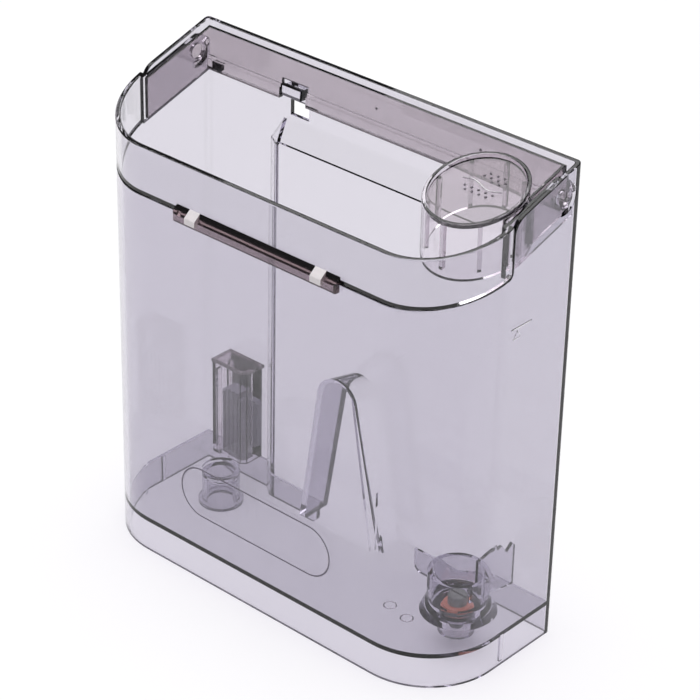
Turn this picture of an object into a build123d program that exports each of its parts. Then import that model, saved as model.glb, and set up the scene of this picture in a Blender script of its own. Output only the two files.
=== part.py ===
from build123d import *
import os

# Removable water tank of a coffee machine: a clear moulded tank with a raised floor over a skirt,
# a frame with a filter collar inside its rim, a swing-up handle, a float and an outlet valve.
# Millimetres. +Z up, +X to the right, -Y is the rounded front and +Y the flat back.
# The model is drawn about the middle of the tank's outline and moved at the end, so that the
# origin is the middle of the bottom of the whole part, finger bar included.

# ---- driving dimensions ----
WIDTH = 182.2                       # outside of the side walls
DEPTH = 67.8                        # outside of the front and back walls
HEIGHT = 200.0                      # base to the rim at the back
FRONT_HEIGHT = 178.5                # base to the handle band's top plane at the front
WALL = 2.0
FRONT_RADIUS = 31.6                 # the two front corners, outside
BACK_RADIUS = 2.0
FLOOR_TOP = 14.6
FLOOR_BOTTOM = FLOOR_TOP - WALL
EDGE = 0.5                          # softening of moulded edges
RIM_ROUND = 0.6
BAND_ROUND = 0.6
FRAME_ROUND = 0.4

HALF_W = WIDTH / 2
FRONT_Y = -DEPTH / 2
BACK_Y = DEPTH / 2
SIDE_IN = HALF_W - WALL             # inside of a side wall
BACK_IN = BACK_Y - WALL             # inside of the back wall
SLOPE = (HEIGHT - FRONT_HEIGHT) / DEPTH

# depths below the sloping rim plane
SEAM_DEPTH = 20.6                   # top of the low front wall
BAND_TOP_DEPTH = 0.7
BAND_BOTTOM_DEPTH = SEAM_DEPTH - 0.8
FRAME_BOTTOM_DEPTH = 17.4
SIDE_EDGE_Y = -2.2                  # where the high side walls drop to the low front wall

# recess across the rear wall, open to the machine
RECESS_Y = 27.2
RECESS_X = (-46.2, 51.3)            # at its floor
RECESS_FLARE = (8.8, 8.8)           # how far each side leans out to the back face
RECESS_TOP = 162.9
RECESS_RISE = 1.08                  # rise of the shelf above it per millimetre back
RECESS_SKIRT_Z = 2.4                # foot of the skirt across the recess
# each upper corner is cut by a plane through three points, given for the left corner
CORNER_CUT = ((0.0, 27.2, 162.0), (-8.8, 33.9, 160.0), (-0.8, 33.9, 172.0))

# arched pocket pushed forward from the recess
ARCH_FRONT_Y = 11.0
ARCH_RADIUS = 10.0
ARCH_CENTRE_X = 0.5
ARCH_FRONT_CENTRE_Z = 74.0
ARCH_BACK_CENTRE_Z = 69.0
ARCH_FRONT_FOOT = (-17.4, 24.6)     # the legs at floor level, at the front face
ARCH_BACK_FOOT = (-18.9, 21.4)      # and at the back wall
# the right leg's front edge is cut by a facet through three points
FACET = ((19.2, 11.0, 14.6), (24.2, 13.2, 14.6), (9.0, 11.0, 74.0))
NOTCH_X = (-20.5, 29.3)             # cut-out in the skirt under the arch

# outlet valve
VALVE_X, VALVE_Y = 68.2, 5.0
CUP_TOP = 32.0
CUP_R, CUP_BORE_R = 11.8, 9.9
SPOUT_R, SPOUT_BORE_R = 7.2, 5.4
THROAT_R = 5.0                      # narrower bore above the step that a probe stops at
SPOUT_BOTTOM, STEP_Z = 4.3, 8.0
SEAT_R = 6.3
SEAL_TOP = 18.0
STEM_R = 1.5
FOOT_Z = (8.2, 9.5)                 # the plunger's foot, at rest
GUIDE_Z = (13.1, FLOOR_TOP)
SPRING_TURNS = 2
WIRE_R = 0.25

# locating socket
SOCKET_X, SOCKET_Y = -61.8, 11.4
SOCKET_R, SOCKET_BORE_R = 7.7, 5.9
SOCKET_BOTTOM, SOCKET_TOP = 0.4, 17.0
SOCKET_FLANGE_R = 9.2

# float cage
CAGE_X = (-76.1, -58.6)
CAGE_Y = (21.3, BACK_IN)
CAGE_TOP = 57.3
CAGE_WALL = 1.2
FLOAT_X = (-73.0, -61.2)
FLOAT_Y = (23.5, 29.9)
FLOAT_Z = (15.0, 46.0)
POD_X = (FLOAT_X[1], -56.8)
POD_Y = (27.0, 29.9)
POD_Z = (21.2, 43.0)

# handle and frame
PIVOT_Y, PIVOT_Z = 24.4, 188.6
PIN_R, PIN_HOLE_R = 3.1, 3.15
EYE_R = 6.8
ARM_X = (87.15, 88.65)
PLATE_X = (85.3, 86.7)
PEG_ANGLE = 20.0                    # from +Y, at rest
PEG_HALF_ANGLE = 13.0
LIFT_ANGLE = 105.0
SLOT_R = (4.5, 6.9)
PEG_R = (4.9, 6.5)
PIN_END_X = HALF_W - 0.2
BAND_REAR_Y = -2.9
JOG_DEPTH = 1.9                     # thickness of the step from band to arm
PANEL_Y = (29.0, 30.4)
COLLAR_X, COLLAR_Y = 67.6, 5.0
COLLAR_R, COLLAR_BORE_R = 18.9, 17.4
COLLAR_TOP_DEPTH = -0.8             # the collar stands a little proud of the rim plane
COLLAR_RIBS = 8
CAP_DEPTH = 0.4
CAP_THICK = 1.2

# rear hook and the window below it
HOOK_X = (-45.0, -36.0)
HOOK_Z = (182.6, 187.2)
WINDOW_Z = (173.2, 179.8)

# finger bar
GRIP_HALF = 40.2
GRIP_PROUD = 3.1
GRIP_Z = (155.3, 158.9, 161.2)      # underside, ridge and top
GRIP_BACK = FRONT_Y - 0.4           # clear of the tank's front wall, below the band
PAD_X = (28.4, 33.6)


def block(x, y, z):
    """Box between pairs of limits."""
    size = (x[1] - x[0], y[1] - y[0], z[1] - z[0])
    middle = ((x[0] + x[1]) / 2, (y[0] + y[1]) / 2, (z[0] + z[1]) / 2)
    return Pos(*middle) * Box(*size)


def tube(x, y, z, radius, bore=0):
    """Upright cylinder or ring between two heights."""
    height = z[1] - z[0]
    shape = Cylinder(radius, height)
    if bore:
        shape -= Cylinder(bore, height + 2)
    return Pos(x, y, (z[0] + z[1]) / 2) * shape


def ramp_z(y, depth=0.0):
    """Height of the sloping rim plane at y, less a depth below it."""
    return FRONT_HEIGHT + SLOPE * (y - FRONT_Y) - depth


def side_profile(points, x):
    """Prism with a YZ outline between two x limits."""
    face = make_face(Polyline(*points, close=True))
    outline = Plane.YZ * face
    return Pos(x[0], 0, 0) * extrude(outline, x[1] - x[0], dir=(1, 0, 0))


def slab(top_depth, bottom_depth, y=(-60, 60), x=(-120, 120)):
    """Everything between two depths below the rim plane."""
    points = [(y[0], ramp_z(y[0], bottom_depth)), (y[1], ramp_z(y[1], bottom_depth)),
              (y[1], ramp_z(y[1], top_depth)), (y[0], ramp_z(y[0], top_depth))]
    return side_profile(points, x)


BAND_LOW_Z = ramp_z(FRONT_Y, BAND_BOTTOM_DEPTH)    # underside of the band at the front


def rim_edges(shape, depths):
    """Edges that lie in a plane parallel to the rim, at one of the given depths."""
    found = []
    for edge in shape.edges():
        for depth in depths:
            if all(abs(p.Z - ramp_z(p.Y, depth)) < 0.01 for p in (edge @ 0, edge @ 0.5, edge @ 1)):
                found.append(edge)
    return found


def outline(inset):
    """Plan of the tank: big front corners, small back corners."""
    plan = Rectangle(WIDTH - 2 * inset, DEPTH - 2 * inset)
    corners = plan.vertices().sort_by(Axis.Y)
    plan = fillet(corners[:2], FRONT_RADIUS - inset)
    corners = plan.vertices().sort_by(Axis.Y)[-2:]
    return fillet(corners, max(BACK_RADIUS - inset, 0.8))


def prism(inset, z):
    """The tank's outline, inset and raised between two heights."""
    return Pos(0, 0, z[0]) * extrude(outline(inset), z[1] - z[0])


def recess(grow):
    """Trough in the rear wall, grown by the wall thickness for the inside."""
    outer_y = BACK_Y + 6
    lean = 6 / (BACK_Y - RECESS_Y)
    plan = Polyline(
        (RECESS_X[0], RECESS_Y), (RECESS_X[1], RECESS_Y),
        (RECESS_X[1] + RECESS_FLARE[1] * (1 + lean), outer_y),
        (RECESS_X[0] - RECESS_FLARE[0] * (1 + lean), outer_y), close=True)
    side = Polyline(
        (RECESS_Y, -20), (outer_y, -20),
        (outer_y, RECESS_TOP + RECESS_RISE * (outer_y - RECESS_Y)), (RECESS_Y, RECESS_TOP), close=True)
    plan_face = make_face(plan)
    side_face = make_face(side)
    if grow:
        plan_face = offset(plan_face, grow, kind=Kind.INTERSECTION)
        side_face = offset(side_face, grow, kind=Kind.INTERSECTION)
    upright = Pos(0, 0, -40) * extrude(plan_face, 300)
    across = Pos(-120, 0, 0) * extrude(Plane.YZ * side_face, 240, dir=(1, 0, 0))
    trough = upright & across
    mouth = trough.edges().filter_by(Axis.Z).group_by(Axis.Y)[0]
    trough = fillet(mouth, 2.0 + grow)
    for side_x, way in ((RECESS_X[0], 1), (RECESS_X[1], -1)):
        points = [Vector(side_x + way * x, y, z) for x, y, z in CORNER_CUT]
        trough = split(trough, bisect_by=facing(points, Vector(-way, -1, 1), grow), keep=Keep.BOTTOM)
    return trough


def facing(points, outward, shift):
    """Plane through three points, facing outward and moved that way by shift."""
    normal = (points[1] - points[0]).cross(points[2] - points[0]).normalized()
    if normal.dot(outward) < 0:
        normal = normal * -1
    return Plane(origin=points[0] + normal * shift, z_dir=normal)


def arch_face(y, centre_z, feet, shrink):
    """Splayed arch outline at one depth, standing below floor level."""
    base_z = -6.0
    spread = (FLOOR_TOP - base_z) * 0.15
    left = feet[0] - spread + shrink
    right = feet[1] + spread - shrink
    circle = CenterArc((ARCH_CENTRE_X, centre_z), ARCH_RADIUS - shrink, 0, 360)
    outline_face = make_hull([Line((left, base_z), (right, base_z)), circle])
    return Plane(origin=(0, y, 0), x_dir=(1, 0, 0), z_dir=(0, -1, 0)) * outline_face


def arch(shrink):
    """The arched pocket's body; shrink by the wall thickness for its hollow."""
    front = arch_face(ARCH_FRONT_Y + shrink, ARCH_FRONT_CENTRE_Z, ARCH_FRONT_FOOT, shrink)
    back = arch_face(BACK_Y - 1, ARCH_BACK_CENTRE_Z, ARCH_BACK_FOOT, shrink)
    body = loft([front, back], ruled=True)
    points = [Vector(*point) for point in FACET]
    return split(body, bisect_by=facing(points, Vector(1, -2, 0), -shrink), keep=Keep.BOTTOM)


def skirt_notch():
    """Cut-out in the back skirt under the arch, its lower corners rounded outwards."""
    y = (RECESS_Y - WALL - 2, RECESS_Y + 2)
    notch = block(NOTCH_X, y, (-2, FLOOR_BOTTOM))
    radius = 3.5
    low = RECESS_SKIRT_Z
    for x, way in ((NOTCH_X[1], 1), (NOTCH_X[0], -1)):
        near = (x - 1, x + radius) if way > 0 else (x - radius, x + 1)
        corner = block(near, y, (-2, low + radius))
        rod = Pos(x + way * radius, RECESS_Y, low + radius) * Rot(90, 0, 0) * Cylinder(radius, 20)
        notch += corner - rod
    return notch


def sector(radius, start, stop, x):
    """Part of a ring about the pivot axis, between two angles from +Y."""
    near = CenterArc((0, 0), radius[0], start, stop - start)
    far = CenterArc((0, 0), radius[1], start, stop - start)
    face = make_face(near + far + Line(near @ 0, far @ 0) + Line(near @ 1, far @ 1))
    standing = Plane(origin=(x[0], PIVOT_Y, PIVOT_Z), x_dir=(0, 1, 0), z_dir=(1, 0, 0)) * face
    return extrude(standing, x[1] - x[0], dir=(1, 0, 0))


def pivot_rod(radius, x):
    """Cylinder on the handle's hinge line."""
    rod = Cylinder(radius, x[1] - x[0])
    return Pos((x[0] + x[1]) / 2, PIVOT_Y, PIVOT_Z) * Rot(0, 90, 0) * rod


def both_sides(shape):
    """The shape and its mirror image in the plane x = 0."""
    return shape + mirror(shape, Plane.YZ)


def tank_body():
    shell = prism(0, (0, HEIGHT + 10))
    # sloping rim, stepped down along the front with a rounded shoulder and foot
    cut_points = [
        (FRONT_Y - 20, ramp_z(FRONT_Y - 20, SEAM_DEPTH)),
        (SIDE_EDGE_Y, ramp_z(SIDE_EDGE_Y, SEAM_DEPTH)), (SIDE_EDGE_Y, ramp_z(SIDE_EDGE_Y)),
        (BACK_Y + 20, ramp_z(BACK_Y + 20)), (BACK_Y + 20, 300), (FRONT_Y - 20, 300)]
    cut_face = make_face(Polyline(*cut_points, close=True))
    foot, shoulder = [v for v in cut_face.vertices() if abs(v.X - SIDE_EDGE_Y) < 0.01]
    if foot.Y > shoulder.Y:
        foot, shoulder = shoulder, foot
    cut_face = fillet(foot, 3.0)
    shoulder = [v for v in cut_face.vertices() if abs(v.Y - ramp_z(SIDE_EDGE_Y)) < 0.01]
    cut_face = fillet(shoulder, 7.0)
    above = Pos(-120, 0, 0) * extrude(Plane.YZ * cut_face, 240, dir=(1, 0, 0))
    cavity = prism(WALL, (FLOOR_TOP, HEIGHT + 20)) - recess(WALL) - arch(0)
    underside = prism(WALL, (-5, FLOOR_BOTTOM)) - recess(WALL)
    hollow = arch(WALL) & block((-60, 60), (-60, 60), (FLOOR_BOTTOM - 1, 120))
    shell = shell - above - cavity - underside
    shell = fillet(rim_edges(shell, (0.0, SEAM_DEPTH)), RIM_ROUND)
    shell = shell - recess(0) - hollow
    shell -= block((RECESS_X[0] - 4, RECESS_X[1] + 4), (RECESS_Y - WALL - 1, RECESS_Y + 3), (-1, RECESS_SKIRT_Z))
    shell -= skirt_notch()

    # valve cup with a flared foot, the spout below the floor and a cone between them
    shell += tube(VALVE_X, VALVE_Y, (FLOOR_BOTTOM, CUP_TOP), CUP_R)
    flare = Pos(VALVE_X, VALVE_Y, FLOOR_TOP + 3.0) * Cone(14.4, CUP_R, 6.0)
    shell += flare
    shell += tube(VALVE_X, VALVE_Y, (SPOUT_BOTTOM, FLOOR_TOP), SPOUT_R)
    shell += Pos(VALVE_X, VALVE_Y, FLOOR_BOTTOM - 2.0) * Cone(SPOUT_R, 12.4, 4.0)
    fin_length = BACK_IN - VALVE_Y - 8.5
    fin_points = [(0, FLOOR_TOP - 0.5), (0, 30.0), (3.0, 31.0), (12.0, 34.2), (14.4, 30.4),
                  (17.2, 33.6), (fin_length, 32.6), (fin_length, FLOOR_TOP - 0.5)]
    fin = side_profile(fin_points, (-0.75, 0.75))
    shell += Pos(VALVE_X, VALVE_Y + 8.9, 0) * Rot(0, 0, -11) * fin
    shell -= tube(VALVE_X, VALVE_Y, (FLOOR_TOP, CUP_TOP + 1), CUP_BORE_R)
    shell -= tube(VALVE_X, VALVE_Y, (0, STEP_Z), SPOUT_BORE_R)
    shell -= tube(VALVE_X, VALVE_Y, (0, FLOOR_TOP + 1), THROAT_R)
    slit = block((-0.6, 0.6), (-14, -8), (CUP_TOP - 7, CUP_TOP + 1))
    for turn in (-38, 62):
        shell -= Pos(VALVE_X, VALVE_Y, 0) * Rot(0, 0, turn) * slit

    # locating socket, blind from below
    shell += tube(SOCKET_X, SOCKET_Y, (SOCKET_BOTTOM, SOCKET_TOP), SOCKET_R)
    shell += tube(SOCKET_X, SOCKET_Y, (SOCKET_BOTTOM, SOCKET_BOTTOM + 1.8), SOCKET_FLANGE_R)
    shell -= tube(SOCKET_X, SOCKET_Y, (0, SOCKET_TOP - WALL), SOCKET_BORE_R)

    # hook that the frame's rear lip fits round, and the window below it
    hook_points = [(BACK_IN + 0.5, HOOK_Z[0]), (26.8, HOOK_Z[0] + 0.6), (26.8, HOOK_Z[1]),
                   (27.6, HOOK_Z[1] + 0.9), (28.4, HOOK_Z[1]), (BACK_IN + 0.5, HOOK_Z[1])]
    shell += side_profile(hook_points, HOOK_X)
    shell -= block((HOOK_X[0] - 0.2, HOOK_X[1] + 0.2), (BACK_IN - 2, BACK_Y + 2), WINDOW_Z)

    # ribs inside the skirt, pin holes and stop slots for the handle
    shell += both_sides(block((SIDE_IN - 0.9, SIDE_IN + 0.5), (4.2, 6.0), (0.8, FLOOR_BOTTOM + 0.2)))
    start = PEG_ANGLE - LIFT_ANGLE - PEG_HALF_ANGLE - 2
    stop = PEG_ANGLE + PEG_HALF_ANGLE + 2
    side_x = (SIDE_IN - 1, HALF_W + 1)
    slots = sector(SLOT_R, start, stop, side_x) + pivot_rod(PIN_HOLE_R, side_x)
    shell -= slots
    shell -= mirror(slots, Plane.YZ)
    return shell


def inner_frame():
    band = slab(BAND_TOP_DEPTH, FRAME_BOTTOM_DEPTH)
    right = block(PLATE_X, (-2.0, PANEL_Y[1]), (100, 260))
    right += block((PLATE_X[0] - 0.8, PLATE_X[1]), (-2.0, 0.4), (100, 260))
    left = block((-PLATE_X[1], -PLATE_X[0]), (-4.4, PANEL_Y[1]), (100, 260))
    plates = right + left + block((-PLATE_X[1], PLATE_X[1]), PANEL_Y, (100, 260))
    frame = plates & band
    # stepped lip along the foot of the rear panel
    foot_z = ramp_z(PANEL_Y[0], FRAME_BOTTOM_DEPTH)
    lip = block((-PLATE_X[0] - 0.2, PLATE_X[0] + 0.2), (PANEL_Y[0] - 1.5, PANEL_Y[0] + 0.2),
                (foot_z, foot_z + 4.2))
    frame += lip
    frame += block((-PLATE_X[0], PLATE_X[0]), (PANEL_Y[0] - 0.7, PANEL_Y[0] + 0.2),
                   (foot_z + 4.0, foot_z + 5.6))
    notch = block((HOOK_X[0] - 2.2, HOOK_X[1] + 2.2), (PANEL_Y[0] - 4, PANEL_Y[1] + 1),
                  (foot_z - 3, HOOK_Z[1] + 1.6))
    frame -= notch
    # two small clips that stand off the rear wall
    frame += both_sides(block((79.0, 84.0), (PANEL_Y[1] - 0.2, BACK_IN), (foot_z + 0.4, foot_z + 3.0)))
    frame = fillet(rim_edges(frame, (BAND_TOP_DEPTH,)), FRAME_ROUND)
    # filter collar, cut by the same sloping planes, with ribs inside
    collar = tube(COLLAR_X, COLLAR_Y, (150, 215), COLLAR_R, COLLAR_BORE_R)
    collar = collar & slab(COLLAR_TOP_DEPTH, SEAM_DEPTH)
    collar = fillet(rim_edges(collar, (COLLAR_TOP_DEPTH,)), FRAME_ROUND)
    rib = block((COLLAR_BORE_R - 1.6, COLLAR_BORE_R + 0.4), (-0.7, 0.7), (150, 210))
    ribs = rib
    for index in range(1, COLLAR_RIBS):
        ribs += Rot(0, 0, 360 * index / COLLAR_RIBS) * rib
    ribs = Pos(COLLAR_X, COLLAR_Y, 0) * ribs
    ribs = ribs & slab(CAP_DEPTH + CAP_THICK, FRAME_BOTTOM_DEPTH + 1.0)
    frame += collar + ribs
    return frame


def filter_cap():
    disc = tube(COLLAR_X, COLLAR_Y, (150, 210), COLLAR_BORE_R - 0.15)
    return disc & slab(CAP_DEPTH, CAP_DEPTH + CAP_THICK)


def handle_bail():
    layer = slab(BAND_TOP_DEPTH, BAND_BOTTOM_DEPTH)
    ring = (prism(0, (120, 260)) - prism(WALL, (110, 270))) & layer
    ring = fillet(rim_edges(ring, (BAND_TOP_DEPTH,)), BAND_ROUND)
    band = ring & block((-120, 120), (-60, BAND_REAR_Y), (100, 260))
    step = block((ARM_X[0], HALF_W - 1.0), (BAND_REAR_Y - JOG_DEPTH, BAND_REAR_Y), (100, 260))
    # the arm runs back to a rounded eye about the pivot
    arm = block(ARM_X, (BAND_REAR_Y - JOG_DEPTH, PIVOT_Y), (100, 260))
    arm = arm & slab(BAND_TOP_DEPTH + 0.6, BAND_BOTTOM_DEPTH)
    arm += pivot_rod(EYE_R, ARM_X)
    tail = block(ARM_X, (PIVOT_Y - 1, PIVOT_Y + EYE_R), (100, PIVOT_Z))
    arm += tail & slab(BAND_TOP_DEPTH, BAND_BOTTOM_DEPTH)
    arm += pivot_rod(PIN_R, (ARM_X[0], PIN_END_X))
    arm += sector(PEG_R, PEG_ANGLE - PEG_HALF_ANGLE, PEG_ANGLE + PEG_HALF_ANGLE, (ARM_X[0] + 0.2, PIN_END_X))
    return band + both_sides((step & layer) + arm)


def grip_section(bottom, back):
    """YZ outline of the finger bar: sloping top, upright nose, flat underside."""
    nose = FRONT_Y - GRIP_PROUD
    return [(back, bottom), (nose + 0.5, bottom), (nose, bottom + 0.5), (nose, GRIP_Z[1] - 0.3),
            (nose + 0.3, GRIP_Z[1]), (FRONT_Y, GRIP_Z[2]), (FRONT_Y, BAND_LOW_Z), (back, BAND_LOW_Z)]


def grip_bar():
    bar = side_profile(grip_section(GRIP_Z[0], GRIP_BACK), (-GRIP_HALF, GRIP_HALF))
    ends = bar.edges().filter_by(Axis.Z).sort_by(Axis.Y)
    ends = [e for e in ends if abs(e.center().Y - (FRONT_Y - GRIP_PROUD)) < 0.01]
    bar = fillet(ends, 1.5)
    for x in (PAD_X, (-PAD_X[1], -PAD_X[0])):
        bar -= grip_pad(x)
    return bar


def grip_pad(x):
    """Frosted insert across the bar, flush with its top and nose; the bar runs on under it."""
    insert = side_profile(grip_section(GRIP_Z[0], GRIP_BACK), x)
    return insert & block(x, (FRONT_Y - 5, FRONT_Y + 1), (GRIP_Z[0] + 1.0, GRIP_Z[2] + 1))


def float_cage():
    cage = block(CAGE_X, CAGE_Y, (FLOOR_TOP, CAGE_TOP))
    corner = [e for e in cage.edges().filter_by(Axis.Z) if e.center().Y < CAGE_Y[0] + 0.1]
    cage = chamfer([e for e in corner if e.center().X > -60], 2.2)
    inside = block((CAGE_X[0] + CAGE_WALL, CAGE_X[1] - CAGE_WALL),
                   (CAGE_Y[0] + CAGE_WALL, CAGE_Y[1] - CAGE_WALL), (FLOOR_TOP - 1, CAGE_TOP + 1))
    corner = [e for e in inside.edges().filter_by(Axis.Z) if e.center().Y < CAGE_Y[0] + 2]
    inside = chamfer([e for e in corner if e.center().X > -62], 1.6)
    cage -= inside
    # slot for the float's pod, guide ribs beside the float, and water ports at the foot
    slot_y = (POD_Y[0] - 0.6, POD_Y[1] + 0.6)
    cage -= block((CAGE_X[1] - 2, CAGE_X[1] + 1), slot_y, (FLOOR_TOP + 3.0, CAGE_TOP + 1))
    for y in ((CAGE_Y[0] + 0.6, FLOAT_Y[0] + 1.2), (FLOAT_Y[1] - 1.2, CAGE_Y[1] - 0.6)):
        cage += block((FLOAT_X[0] - 1.7, FLOAT_X[0] - 0.5), y, (FLOOR_TOP, CAGE_TOP - 3))
    cage -= block((CAGE_X[0] + 4, CAGE_X[0] + 9), (CAGE_Y[0] - 1, CAGE_Y[0] + 1.0), (FLOOR_TOP - 1, FLOOR_TOP + 2.4))
    cage -= block((CAGE_X[0] - 1, CAGE_X[0] + 2), (24.0, 29.0), (FLOOR_TOP - 1, FLOOR_TOP + 2.4))
    return cage


def cage_lid():
    lid = block((CAGE_X[0] - 0.3, CAGE_X[1] + 1.3), (CAGE_Y[0] - 0.4, CAGE_Y[1]), (CAGE_TOP, CAGE_TOP + 1.5))
    corner = [e for e in lid.edges().filter_by(Axis.Z) if e.center().Y < CAGE_Y[0]]
    lid = chamfer([e for e in corner if e.center().X > -60], 2.4)
    lid = fillet(lid.edges().group_by(Axis.Z)[-1], EDGE)
    return lid


def float_body():
    core = block(FLOAT_X, FLOAT_Y, FLOAT_Z)
    core = chamfer(core.edges().filter_by(Axis.Z), 1.0)
    # grooves down the front and back, and a stepped top
    pitch = (FLOAT_X[1] - FLOAT_X[0]) / 5
    for index in range(4):
        middle = FLOAT_X[0] + pitch * (index + 1)
        for y in (FLOAT_Y[0], FLOAT_Y[1]):
            core -= block((middle - 0.5, middle + 0.5), (y - 0.7, y + 0.7), (FLOAT_Z[0] + 2, FLOAT_Z[1] + 1))
    core -= block((FLOAT_X[0] - 1, FLOAT_X[0] + 2.4), (0, 60), (FLOAT_Z[1] - 1.6, FLOAT_Z[1] + 1))
    core -= block((FLOAT_X[1] - 2.4, FLOAT_X[1] - 0.2), (0, 60), (FLOAT_Z[1] - 2.4, FLOAT_Z[1] + 1))
    pod = block((FLOAT_X[1] - 1.2, POD_X[1]), POD_Y, POD_Z)
    outer = [e for e in pod.edges().filter_by(Axis.Y) if e.center().X > POD_X[1] - 0.1]
    core += chamfer(outer, 1.0)
    return core - float_magnet()


def float_magnet():
    middle = (POD_Y[0] + POD_Y[1]) / 2
    return block((POD_X[1] - 3.0, POD_X[1] - 1.0), (middle - 0.9, middle + 0.9), (POD_Z[0] + 2, POD_Z[1] - 2))


def seal_retainer():
    ring = tube(VALVE_X, VALVE_Y, (FLOOR_TOP, FLOOR_TOP + 2.2), 9.2, SEAT_R + 0.1)
    ring += tube(VALVE_X, VALVE_Y, (FLOOR_TOP, FLOOR_TOP + 4.2), 8.3, 7.1)
    gap = block((-2.0, 2.0), (-12, 12), (FLOOR_TOP + 2.2, FLOOR_TOP + 6))
    for turn in (25, 115):
        ring -= Pos(VALVE_X, VALVE_Y, 0) * Rot(0, 0, turn) * gap
    return ring


def valve_seal():
    seal = tube(VALVE_X, VALVE_Y, (FLOOR_TOP, FLOOR_TOP + 1.8), SEAT_R)
    seal += tube(VALVE_X, VALVE_Y, (FLOOR_TOP + 1.8, SEAL_TOP), SEAT_R - 0.8)
    return seal - tube(VALVE_X, VALVE_Y, (10, 30), 2.6)


def valve_plunger():
    head_z = (SEAL_TOP + 0.05, SEAL_TOP + 4.2)
    head = tube(VALVE_X, VALVE_Y, head_z, 3.7)
    head = fillet(head.edges().group_by(Axis.Z)[-1], 0.7)
    head -= block((VALVE_X - 5, VALVE_X + 5), (VALVE_Y - 0.5, VALVE_Y + 0.5), (head_z[1] - 0.9, head_z[1] + 1))
    return head + tube(VALVE_X, VALVE_Y, (FOOT_Z[0] + 0.4, head_z[0] + 0.5), STEM_R)


def plunger_foot():
    foot = tube(VALVE_X, VALVE_Y, FOOT_Z, 3.8)
    return foot - tube(VALVE_X, VALVE_Y, (FOOT_Z[0] + 0.4, FOOT_Z[1] + 1), STEM_R)


def valve_guide():
    """Spider in the floor's hole: a rim, a hub and three spokes."""
    guide = tube(VALVE_X, VALVE_Y, GUIDE_Z, THROAT_R, THROAT_R - 0.9)
    hub = tube(VALVE_X, VALVE_Y, GUIDE_Z, STEM_R + 1.0)
    spoke = block((1.5, THROAT_R - 0.4), (-0.5, 0.5), GUIDE_Z)
    for index in range(3):
        hub += Pos(VALVE_X, VALVE_Y, 0) * Rot(0, 0, 120 * index) * spoke
    return guide + hub - tube(VALVE_X, VALVE_Y, (10, 20), STEM_R + 0.08)


def valve_spring():
    """Helical spring between the foot and the guide."""
    length = GUIDE_Z[0] - FOOT_Z[1] - 2 * WIRE_R
    helix = Helix(pitch=length / SPRING_TURNS, height=length, radius=3.0)
    section = Plane(origin=helix @ 0, z_dir=helix % 0) * Circle(WIRE_R)
    return Pos(VALVE_X, VALVE_Y, FOOT_Z[1] + WIRE_R) * sweep(section, path=helix, is_frenet=True)


def save(name, shape):
    """Write one piece, moved so that the origin is under the middle of the whole part."""
    moved = Pos(0, GRIP_PROUD / 2, 0) * shape
    solids = moved.solids()
    result = solids[0] if len(solids) == 1 else Compound(children=list(solids))
    export_step(result, f"parts/{name}.step")
    print(f"{name}: {len(solids)} solid, {result.volume / 1000:.2f} cm3")

os.makedirs("parts", exist_ok=True)
save("tank_body", tank_body())
save("inner_frame", inner_frame())
save("filter_cap", filter_cap())
save("handle_bail", handle_bail())
save("grip_bar", grip_bar())
save("grip_pad_right", grip_pad(PAD_X))
save("grip_pad_left", grip_pad((-PAD_X[1], -PAD_X[0])))
save("float_cage", float_cage())
save("cage_lid", cage_lid())
save("float_body", float_body())
save("float_magnet", float_magnet())
save("seal_retainer", seal_retainer())
save("valve_seal", valve_seal())
save("valve_plunger", valve_plunger())
save("plunger_foot", plunger_foot())
save("valve_guide", valve_guide())
save("valve_spring", valve_spring())
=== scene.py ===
import math

import bpy
from mathutils import Matrix, Vector


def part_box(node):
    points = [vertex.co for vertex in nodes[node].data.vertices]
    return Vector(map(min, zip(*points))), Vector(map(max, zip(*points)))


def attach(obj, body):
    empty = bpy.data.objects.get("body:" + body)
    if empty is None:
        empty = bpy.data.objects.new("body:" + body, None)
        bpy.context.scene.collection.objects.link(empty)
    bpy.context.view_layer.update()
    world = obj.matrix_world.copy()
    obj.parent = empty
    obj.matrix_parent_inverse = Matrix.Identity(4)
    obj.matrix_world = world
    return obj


# A clear, lightly smoked water tank on a pale studio floor.

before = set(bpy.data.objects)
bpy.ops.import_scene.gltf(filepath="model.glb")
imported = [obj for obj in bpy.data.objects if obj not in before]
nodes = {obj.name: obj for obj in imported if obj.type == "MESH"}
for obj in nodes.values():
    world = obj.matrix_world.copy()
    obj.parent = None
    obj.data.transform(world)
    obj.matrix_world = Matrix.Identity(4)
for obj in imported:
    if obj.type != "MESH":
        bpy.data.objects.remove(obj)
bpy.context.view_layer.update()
scene = bpy.context.scene

MM = 0.001
FLOOR_TOP = 0.0146              # top of the tank's raised floor
CAP_THICK = 0.0012
RIM_SLOPE = 21.5 / 67.8         # rise of the rim over its depth
COLLAR_R = 0.0190
COLLAR_BORE_R = 0.0174
PLATE_INNER_X = 0.0852          # inner face of the frame's right plate
LEVEL_Z = 0.1465                # height of the fill line
SINK = 0.00004                  # how far a raised mark is let into its surface

SMOKE = (0.72, 0.69, 0.78)
MOULD_SCALE = 60.0              # size of the patches of roughness on clear plastic
GRAIN_SCALE = 900.0             # size of the grain on solid plastic


# ---------------------------------------------------------------- materials
def new_material(name):
    """An empty node material and its output node."""
    made = bpy.data.materials.new(name)
    made.use_nodes = True
    tree = made.node_tree
    tree.nodes.clear()
    return made, tree, tree.nodes.new("ShaderNodeOutputMaterial")


def add_node(tree, kind, **inputs):
    """A node with plain values on its named inputs."""
    node = tree.nodes.new(kind)
    for key, value in inputs.items():
        node.inputs[key.replace("_", " ")].default_value = value
    return node


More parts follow.
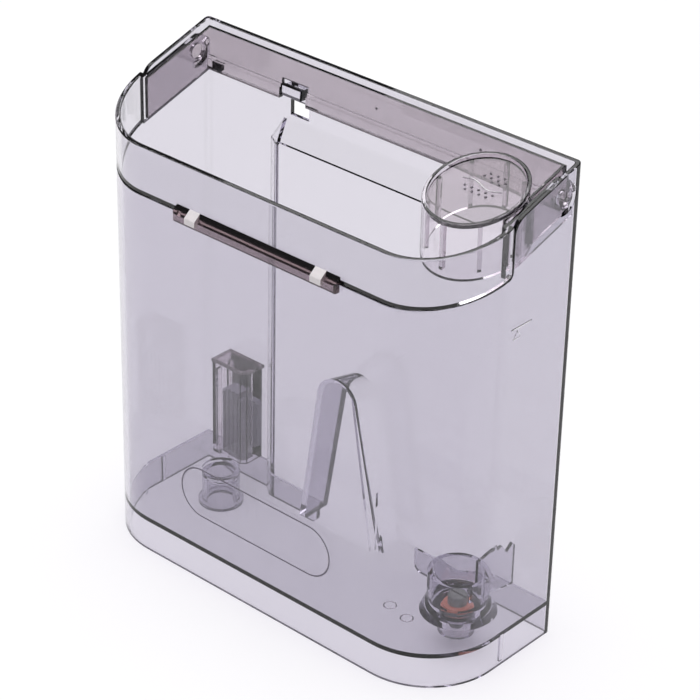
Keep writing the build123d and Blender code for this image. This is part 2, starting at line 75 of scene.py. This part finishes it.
def surface_noise(tree, scale, low, high, detail=3.0):
    """Object-space noise: mapped to a range, and as it is."""
    place = add_node(tree, "ShaderNodeTexCoord")
    noise = add_node(tree, "ShaderNodeTexNoise", Scale=scale, Detail=detail)
    tree.links.new(place.outputs["Object"], noise.inputs["Vector"])
    spread = add_node(tree, "ShaderNodeMapRange")
    spread.inputs["To Min"].default_value = low
    spread.inputs["To Max"].default_value = high
    tree.links.new(noise.outputs["Fac"], spread.inputs["Value"])
    return spread.outputs["Result"], noise.outputs["Fac"]


def clear_plastic(name, tint, absorb, density, rough=(0.0, 0.03), wave=0.02, ior=1.49):
    """See-through moulded plastic: tinted at its skin, darker with depth, and clear to lamps."""
    made, tree, out = new_material(name)
    body = add_node(tree, "ShaderNodeBsdfPrincipled", IOR=ior)
    body.inputs["Base Color"].default_value = (*tint, 1)
    body.inputs["Transmission Weight"].default_value = 1.0
    roughness, _ = surface_noise(tree, MOULD_SCALE, *rough)
    tree.links.new(roughness, body.inputs["Roughness"])
    # the faint waviness of a moulded wall
    place = add_node(tree, "ShaderNodeTexCoord")
    ripple = add_node(tree, "ShaderNodeTexNoise", Scale=14.0, Detail=1.0)
    tree.links.new(place.outputs["Object"], ripple.inputs["Vector"])
    bump = add_node(tree, "ShaderNodeBump", Strength=wave, Distance=0.002)
    tree.links.new(ripple.outputs["Fac"], bump.inputs["Height"])
    tree.links.new(bump.outputs["Normal"], body.inputs["Normal"])
    through = add_node(tree, "ShaderNodeBsdfTransparent")
    through.inputs["Color"].default_value = (1, 1, 1, 1)
    path = add_node(tree, "ShaderNodeLightPath")
    either = add_node(tree, "ShaderNodeMath")
    either.operation = "MAXIMUM"
    tree.links.new(path.outputs["Is Shadow Ray"], either.inputs[0])
    tree.links.new(path.outputs["Is Diffuse Ray"], either.inputs[1])
    mix = add_node(tree, "ShaderNodeMixShader")
    tree.links.new(either.outputs[0], mix.inputs["Fac"])
    tree.links.new(body.outputs[0], mix.inputs[1])
    tree.links.new(through.outputs[0], mix.inputs[2])
    tree.links.new(mix.outputs[0], out.inputs["Surface"])
    if density:
        fog = add_node(tree, "ShaderNodeVolumeAbsorption")
        fog.inputs["Color"].default_value = (*absorb, 1)
        fog.inputs["Density"].default_value = density
        tree.links.new(fog.outputs[0], out.inputs["Volume"])
    return made


def solid_plastic(name, colour, rough, spread=0.12):
    """Opaque moulded plastic or rubber with a fine grain."""
    made, tree, out = new_material(name)
    body = add_node(tree, "ShaderNodeBsdfPrincipled", IOR=1.5)
    roughness, fac = surface_noise(tree, GRAIN_SCALE, rough - 0.06, rough + 0.06)
    tree.links.new(roughness, body.inputs["Roughness"])
    ramp = add_node(tree, "ShaderNodeMix")
    ramp.data_type = "RGBA"
    dark = [c * (1 - spread) for c in colour]
    light = [min(1, c * (1 + spread)) for c in colour]
    ramp.inputs["A"].default_value = (*dark, 1)
    ramp.inputs["B"].default_value = (*light, 1)
    tree.links.new(fac, ramp.inputs["Factor"])
    tree.links.new(ramp.outputs["Result"], body.inputs["Base Color"])
    bump = add_node(tree, "ShaderNodeBump", Strength=0.15, Distance=0.0002)
    tree.links.new(fac, bump.inputs["Height"])
    tree.links.new(bump.outputs["Normal"], body.inputs["Normal"])
    tree.links.new(body.outputs[0], out.inputs["Surface"])
    return made


def dress(name, made):
    """Gives a CAD node one material."""
    node = nodes[name]
    node.data.materials.clear()
    node.data.materials.append(made)


tank_clear = clear_plastic("tank_clear", (0.752, 0.735, 0.785), SMOKE, 60.0)
handle_clear = clear_plastic("handle_clear", (0.745, 0.73, 0.775), SMOKE, 0.0)
frame_clear = clear_plastic("frame_clear", (0.61, 0.558, 0.583), SMOKE, 0.0)
# nearly clear: painted light, lifting the collar out of the shade of its stacked walls
collar_painted_light = clear_plastic("collar_painted_light", (0.97, 0.94, 0.96), SMOKE, 0.0)
rib_clear = clear_plastic("rib_clear", (0.50, 0.45, 0.50), SMOKE, 0.0)
cap_clear = clear_plastic("cap_clear", (0.52, 0.475, 0.51), SMOKE, 0.0)
cage_clear = clear_plastic("cage_clear", (0.93, 0.91, 0.92), SMOKE, 0.0)
lid_clear = clear_plastic("lid_clear", (0.72, 0.66, 0.71), SMOKE, 0.0, (0.10, 0.22))
retainer_clear = clear_plastic("retainer_clear", (0.80, 0.76, 0.79), SMOKE, 0.0)
grip_smoked = clear_plastic("grip_smoked", (0.64, 0.55, 0.58), (0.40, 0.30, 0.32), 260.0, (0.05, 0.12))
clear_nodes = {
    "tank_body": tank_clear,
    "handle_bail": handle_clear,
    "float_cage": cage_clear,
    "cage_lid": lid_clear,
    "seal_retainer": retainer_clear,
    "filter_cap": cap_clear,
    "inner_frame": frame_clear,
    "grip_bar": grip_smoked,
}
for node_name, finish in clear_nodes.items():
    dress(node_name, finish)

# the frame's panels are tinted; its collar is tinted nearly clear, painted light that lifts the shade
# its stacked walls take, and the ribs inside the collar are darker
cap_low, cap_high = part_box("filter_cap")
cap_x = (cap_low.x + cap_high.x) / 2
cap_y = (cap_low.y + cap_high.y) / 2
frame_mesh = nodes["inner_frame"].data
frame_mesh.materials.append(collar_painted_light)
frame_mesh.materials.append(rib_clear)
for polygon in frame_mesh.polygons:
    centre = polygon.center
    reach = math.hypot(centre.x - cap_x, centre.y - cap_y)
    if reach < COLLAR_R + 0.0004 and centre.x < PLATE_INNER_X:
        polygon.material_index = 2 if reach < COLLAR_BORE_R - 0.0001 else 1

pad = solid_plastic("frosted_pad", (0.74, 0.70, 0.71), 0.5)
dress("grip_pad_left", pad)
dress("grip_pad_right", pad)
dress("float_body", solid_plastic("float_grey", (0.13, 0.12, 0.158), 0.5))
dress("float_magnet", solid_plastic("magnet_coat", (0.03, 0.02, 0.05), 0.4))
dress("valve_seal", solid_plastic("orange_silicone", (0.62, 0.20, 0.12), 0.45))
grey = solid_plastic("valve_grey", (0.16, 0.17, 0.15), 0.4)
for node_name in ("valve_plunger", "plunger_foot", "valve_guide"):
    dress(node_name, grey)
steel = solid_plastic("spring_steel", (0.45, 0.45, 0.47), 0.25)
steel.node_tree.nodes["Principled BSDF"].inputs["Metallic"].default_value = 1.0
dress("valve_spring", steel)

# ---------------------------------------------------------------- moulded marks on the tank
# the marks are the tank's own clear plastic; their darker tint is painted shade, standing in for the
# dark edges such ridges show
marks_painted_shade = clear_plastic("marks_painted_shade", (0.45, 0.41, 0.47), SMOKE, 0.0, (0.12, 0.22))
# opaque dark grey: painted shade, standing in for the dark lines that clear moulded outlines show
painted_shade_outline = solid_plastic("painted_shade_outline", (0.16, 0.145, 0.18), 0.6)
tank_low, tank_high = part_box("tank_body")


def add_piece(name, verts, faces, material, smooth=True):
    """A mesh object that rides on the tank."""
    mesh = bpy.data.meshes.new(name)
    mesh.from_pydata(verts, [], faces)
    mesh.validate()
    if smooth:
        mesh.shade_smooth()
    piece = bpy.data.objects.new(name, mesh)
    scene.collection.objects.link(piece)
    mesh.materials.append(material)
    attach(piece, "tank")
    return piece


def ridge(name, path, outward, width, height, closed=False, material=marks_painted_shade):
    """Raised rounded line along a path on a surface that faces outward."""
    outward = Vector(outward).normalized()
    path = [Vector(point) for point in path]
    count = len(path)
    steps = 7
    verts = []
    faces = []
    for index, point in enumerate(path):
        before = path[index - 1] if closed or index else point
        after = path[(index + 1) % count] if closed or index < count - 1 else point
        side = (after - before).normalized().cross(outward)
        for step in range(steps):
            angle = math.pi * step / (steps - 1)
            across = side * (math.cos(angle) * width / 2)
            verts.append(point + across + outward * (math.sin(angle) * height - SINK))
    rings = count if closed else count - 1
    for ring in range(rings):
        here = ring * steps
        there = ((ring + 1) % count) * steps
        for step in range(steps):
            follow = (step + 1) % steps
            faces.append((here + step, here + follow, there + follow, there + step))
    if not closed:
        faces.append(tuple(range(steps)))
        faces.append(tuple(reversed(range((count - 1) * steps, count * steps))))
    return add_piece(name, verts, faces, material)


def domes(name, places, outward, radius, height, material=marks_painted_shade):
    """Low rounded studs at several places, as one piece."""
    outward = Vector(outward).normalized()
    across = outward.orthogonal().normalized()
    along = outward.cross(across)
    around = 14
    levels = 4
    verts = []
    faces = []
    for place in places:
        base = len(verts)
        for level in range(levels):
            angle = math.pi / 2 * level / levels
            reach = radius * math.cos(angle)
            lift = height * math.sin(angle) - SINK
            for index in range(around):
                turn = 2 * math.pi * index / around
                spoke = across * math.cos(turn) + along * math.sin(turn)
                verts.append(Vector(place) + spoke * reach + outward * lift)
        verts.append(Vector(place) + outward * (height - SINK))
        for level in range(levels - 1):
            for index in range(around):
                low = base + level * around
                follow = (index + 1) % around
                faces.append((low + index, low + follow, low + around + follow, low + around + index))
        top = base + (levels - 1) * around
        for index in range(around):
            faces.append((top + index, top + (index + 1) % around, len(verts) - 1))
        faces.append(tuple(reversed(range(base, base + around))))
    return add_piece(name, verts, faces, material)


def stadium(x, z, steps=18):
    """Corner points of a lying stadium between two x and two z limits."""
    radius = (z[1] - z[0]) / 2
    middle = (z[0] + z[1]) / 2
    points = []
    for centre, start in ((x[1] - radius, -90), (x[0] + radius, 90)):
        for step in range(steps + 1):
            angle = math.radians(start + 180 * step / steps)
            points.append((centre + radius * math.cos(angle), middle + radius * math.sin(angle)))
    return points


# empty badge outline low on the front, drawn as a dark opaque ridge: a painted shade line standing in
# for the dark edge that a clear moulded ridge shows
front_y = tank_low.y
badge = [(x, front_y, z) for x, z in stadium((-0.0394, 0.0376), (0.0297, 0.0510))]
ridge("badge_outline", badge, (0, -1, 0), 0.0007, 0.00012, closed=True, material=painted_shade_outline)

# fill line and pointer on the right wall
wall_x = tank_high.x
line = [(wall_x, 0.0003 + 0.0111 * step / 6, LEVEL_Z) for step in range(7)]
ridge("level_line", line, (1, 0, 0), 0.0006, 0.0003)
pointer = [(0.0036, LEVEL_Z - 0.0012), (0.0056, LEVEL_Z - 0.0042), (0.0016, LEVEL_Z - 0.0042)]
ridge("level_pointer", [(wall_x, y, z) for y, z in pointer], (1, 0, 0), 0.0005, 0.0003, closed=True)

# gate marks in the floor and small ejector marks on the frame's rear panel
for index, (x, y) in enumerate(((0.0485, -0.0094), (0.0586, -0.0113))):
    circle = [(x + 0.0024 * math.cos(a), y + 0.0024 * math.sin(a), FLOOR_TOP)
              for a in (2 * math.pi * step / 28 for step in range(28))]
    ridge(f"gate_ring_{index}", circle, (0, 0, 1), 0.0006, 0.0003, closed=True)
panel_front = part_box("inner_frame")[1].y - 0.0029
domes("panel_studs", [(x, panel_front, 0.1915) for x in (0.0001, 0.0495)], (0, -1, 0), 0.0006, 0.0003)

# the cap's pattern: two fields of studs either side of a wave
cap_z = (cap_low.z + cap_high.z + CAP_THICK) / 2
cap_up = Vector((0, -RIM_SLOPE, 1))


def on_cap(x, y):
    """Point on the cap's top face, from millimetres off its middle."""
    return (cap_x + x * MM, cap_y + y * MM, cap_z + RIM_SLOPE * y * MM)


PITCH = 3.1                     # millimetres between studs in a row
ROW = 1.7                       # millimetres between rows
studs = []
for row, first, count in ((0, -4.2, 4), (1, -5.7, 5), (4, 2.0, 2), (5, -2.6, 4), (6, -1.1, 3)):
    studs += [on_cap(first + PITCH * step, ROW * row - 1.2) for step in range(count)]
domes("cap_studs", studs, cap_up, 0.00055, 0.00035)
wave = []
for step in range(41):
    x = -8.7 + 17.4 * step / 40
    wave.append(on_cap(x, 2.9 + 1.1 * math.cos(2 * math.pi * (x + 4.7) / 17.0)))
ridge("cap_wave", wave, cap_up, 0.00045, 0.0003)

# ---------------------------------------------------------------- floor, light, camera
HALF_FLOOR = 4.0
corners = [(HALF_FLOOR * x, HALF_FLOOR * y, 0) for x, y in ((-1, -1), (1, -1), (1, 1), (-1, 1))]
floor_mesh = bpy.data.meshes.new("studio_floor")
floor_mesh.from_pydata(corners, [], [(0, 1, 2, 3)])
floor = bpy.data.objects.new("studio_floor", floor_mesh)
floor.location.z = -0.0002      # just clear of the tank's rim
scene.collection.objects.link(floor)
made, tree, out = new_material("studio_floor")
body = add_node(tree, "ShaderNodeBsdfDiffuse")
body.inputs["Color"].default_value = (0.95, 0.95, 0.95, 1)
tree.links.new(body.outputs[0], out.inputs["Surface"])
floor_mesh.materials.append(made)

world = bpy.data.worlds.new("studio")
scene.world = world
world.use_nodes = True
world.node_tree.nodes["Background"].inputs["Color"].default_value = (0.96, 0.92, 1.0, 1)
world.node_tree.nodes["Background"].inputs["Strength"].default_value = 0.17


def softbox(name, place, target, size, power):
    """Square soft light aimed at a point."""
    lamp = bpy.data.lights.new(name, "AREA")
    lamp.size = size
    lamp.energy = power
    thing = bpy.data.objects.new(name, lamp)
    thing.location = place
    thing.rotation_mode = "QUATERNION"
    thing.rotation_quaternion = (Vector(target) - Vector(place)).to_track_quat("-Z", "Y")
    scene.collection.objects.link(thing)
    return thing


softbox("overhead", (-0.3, 0.2, 3.0), (0, 0, 0), 4.0, 124)
softbox("front_fill", (1.9, -2.4, 1.5), (0, 0, 0.1), 1.6, 15)

# the camera looks from the front right and above, through a long lens
azimuth = math.radians(41.3127)
elevation = math.radians(30.1130)
roll = math.radians(1.3934)
CAMERA_AT = (0.58220, -0.64310, 0.60564)
LENS_MM = 137.63674
flat = math.cos(elevation)
back = Vector((math.sin(azimuth) * flat, -math.cos(azimuth) * flat, math.sin(elevation)))
right = Vector((math.cos(azimuth), math.sin(azimuth), 0))
up = back.cross(right)
right_rolled = math.cos(roll) * right + math.sin(roll) * up
up_rolled = -math.sin(roll) * right + math.cos(roll) * up
camera_data = bpy.data.cameras.new("camera")
camera_data.sensor_width = 36
camera_data.lens = LENS_MM
camera_data.clip_start = 0.01
camera_data.clip_end = 50
camera = bpy.data.objects.new("camera", camera_data)
turn = Matrix((right_rolled, up_rolled, back)).transposed().to_4x4()
camera.matrix_world = Matrix.Translation(CAMERA_AT) @ turn
scene.collection.objects.link(camera)
scene.camera = camera

scene.view_settings.view_transform = "Standard"
scene.cycles.max_bounces = 24
scene.cycles.transmission_bounces = 24
scene.cycles.transparent_max_bounces = 24
